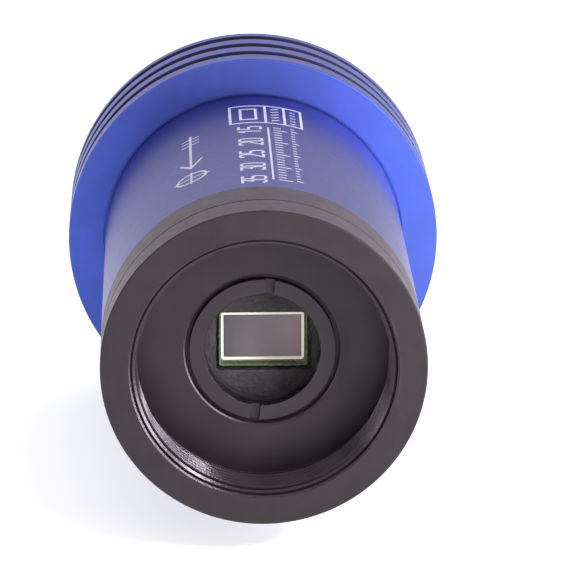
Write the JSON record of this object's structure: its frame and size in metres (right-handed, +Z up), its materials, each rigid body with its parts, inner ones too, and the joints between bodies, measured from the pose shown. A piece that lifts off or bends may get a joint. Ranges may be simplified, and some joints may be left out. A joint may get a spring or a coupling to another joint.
{
  "type": "guide camera",
  "caption": "Small cylindrical astronomy guide camera: slip-in nosepiece barrel, threaded lens mouth over a windowed sensor, grooved rear flange with cable sockets.",
  "frame": {"origin": "centre of the shoulder plane, where the barrel meets the front face of the flange", "axes": "+Y along the optical axis towards the cable end (the nose points to -Y), +Z up with the long side of the sensor level, +X to the right for someone looking along +Y"},
  "size_m": [0.0396, 0.0597, 0.0396],
  "materials": {
    "black_anodised": "black anodised, fine bead blast",
    "black_anodised_fine": "black anodised, turned and fine blasted",
    "black_anodised_ring": "black anodised, turned",
    "black_anodised_cover": "black anodised, bead blasted",
    "blue_anodised": "blue anodised, satin",
    "blue_anodised_flange": "blue anodised, satin",
    "blackened_brass": "chemically blackened",
    "seal_rubber": "matt",
    "coated_glass": "polished, anti-reflection coated",
    "lid_glass": "polished",
    "package_green": "solder-mask green laminate",
    "silicon": "polished silicon with a fine filter mosaic",
    "bond_pads": "pale satin",
    "black_foam": "open-cell foam",
    "circuit_board": "green solder mask",
    "ceramic": "fired ceramic",
    "connector_plastic": "moulded black",
    "plated_brass": "nickel plated",
    "screw_steel": "black oxide",
    "chip_epoxy": "moulded epoxy",
    "ferrite": "sintered",
    "nickel_can": "nickel plated",
    "gold_pins": "gold flash",
    "cable_film": "polyester film",
    "thermal_rubber": "soft filled silicone",
    "led_body": "clear epoxy over white",
    "clear_plastic": "clear moulding"
  },
  "bodies": {
    "camera": {"chamber_housing": "black_anodised_fine", "window_retainer": "black_anodised_ring", "front_oring": "seal_rubber", "window_gasket": "seal_rubber", "rear_gasket": "seal_rubber", "window_glass": "coated_glass", "sensor_cover_glass": "lid_glass", "sensor_package": "package_green", "sensor_die": "silicon", "sensor_bond_frame": "bond_pads", "sensor_mask": "black_foam", "sensor_board": "circuit_board", "main_board": "circuit_board", "interface_board": "circuit_board", "sensor_capacitors": "ceramic", "main_capacitors": "ceramic", "sensor_socket": "connector_plastic", "main_plug": "connector_plastic", "flat_cable_sockets": "connector_plastic", "guide_port_housing": "connector_plastic", "usb_c_tongue": "connector_plastic", "stack_standoffs": "plated_brass", "board_pillars": "plated_brass", "main_board_screws": "screw_steel", "interface_board_screws": "screw_steel", "rear_cover_screws": "screw_steel", "image_processor": "chip_epoxy", "memory_chip": "chip_epoxy", "usb_controller": "chip_epoxy", "power_inductors": "ferrite", "clock_crystal": "nickel_can", "usb_c_shell": "nickel_can", "guide_port_pins": "gold_pins", "flat_cable": "cable_film", "thermal_pad": "thermal_rubber", "status_led": "led_body", "light_pipe": "clear_plastic", "barrel_tube": "blue_anodised", "rear_housing": "blue_anodised_flange", "rear_cover": "black_anodised_cover"},
    "shim": {"spacer_shim": "blackened_brass"},
    "front_ring": {"nose_ring": "black_anodised"}
  },
  "joints": [
    {"name": "nose_ring_lift", "type": "slide", "parent": "camera", "child": "shim", "axis": [0, -1, 0], "range_m": [0, 0.0015]},
    {"name": "nose_ring_turn", "type": "hinge", "parent": "shim", "child": "front_ring", "pos_m": [0, -0.0469, 0], "axis": [0, -1, 0], "range_deg": [0, 900]}
  ],
  "couplings": [
    {"joint": "nose_ring_lift", "follows": "nose_ring_turn", "m_per_rad": 0.000095493}
  ]
}
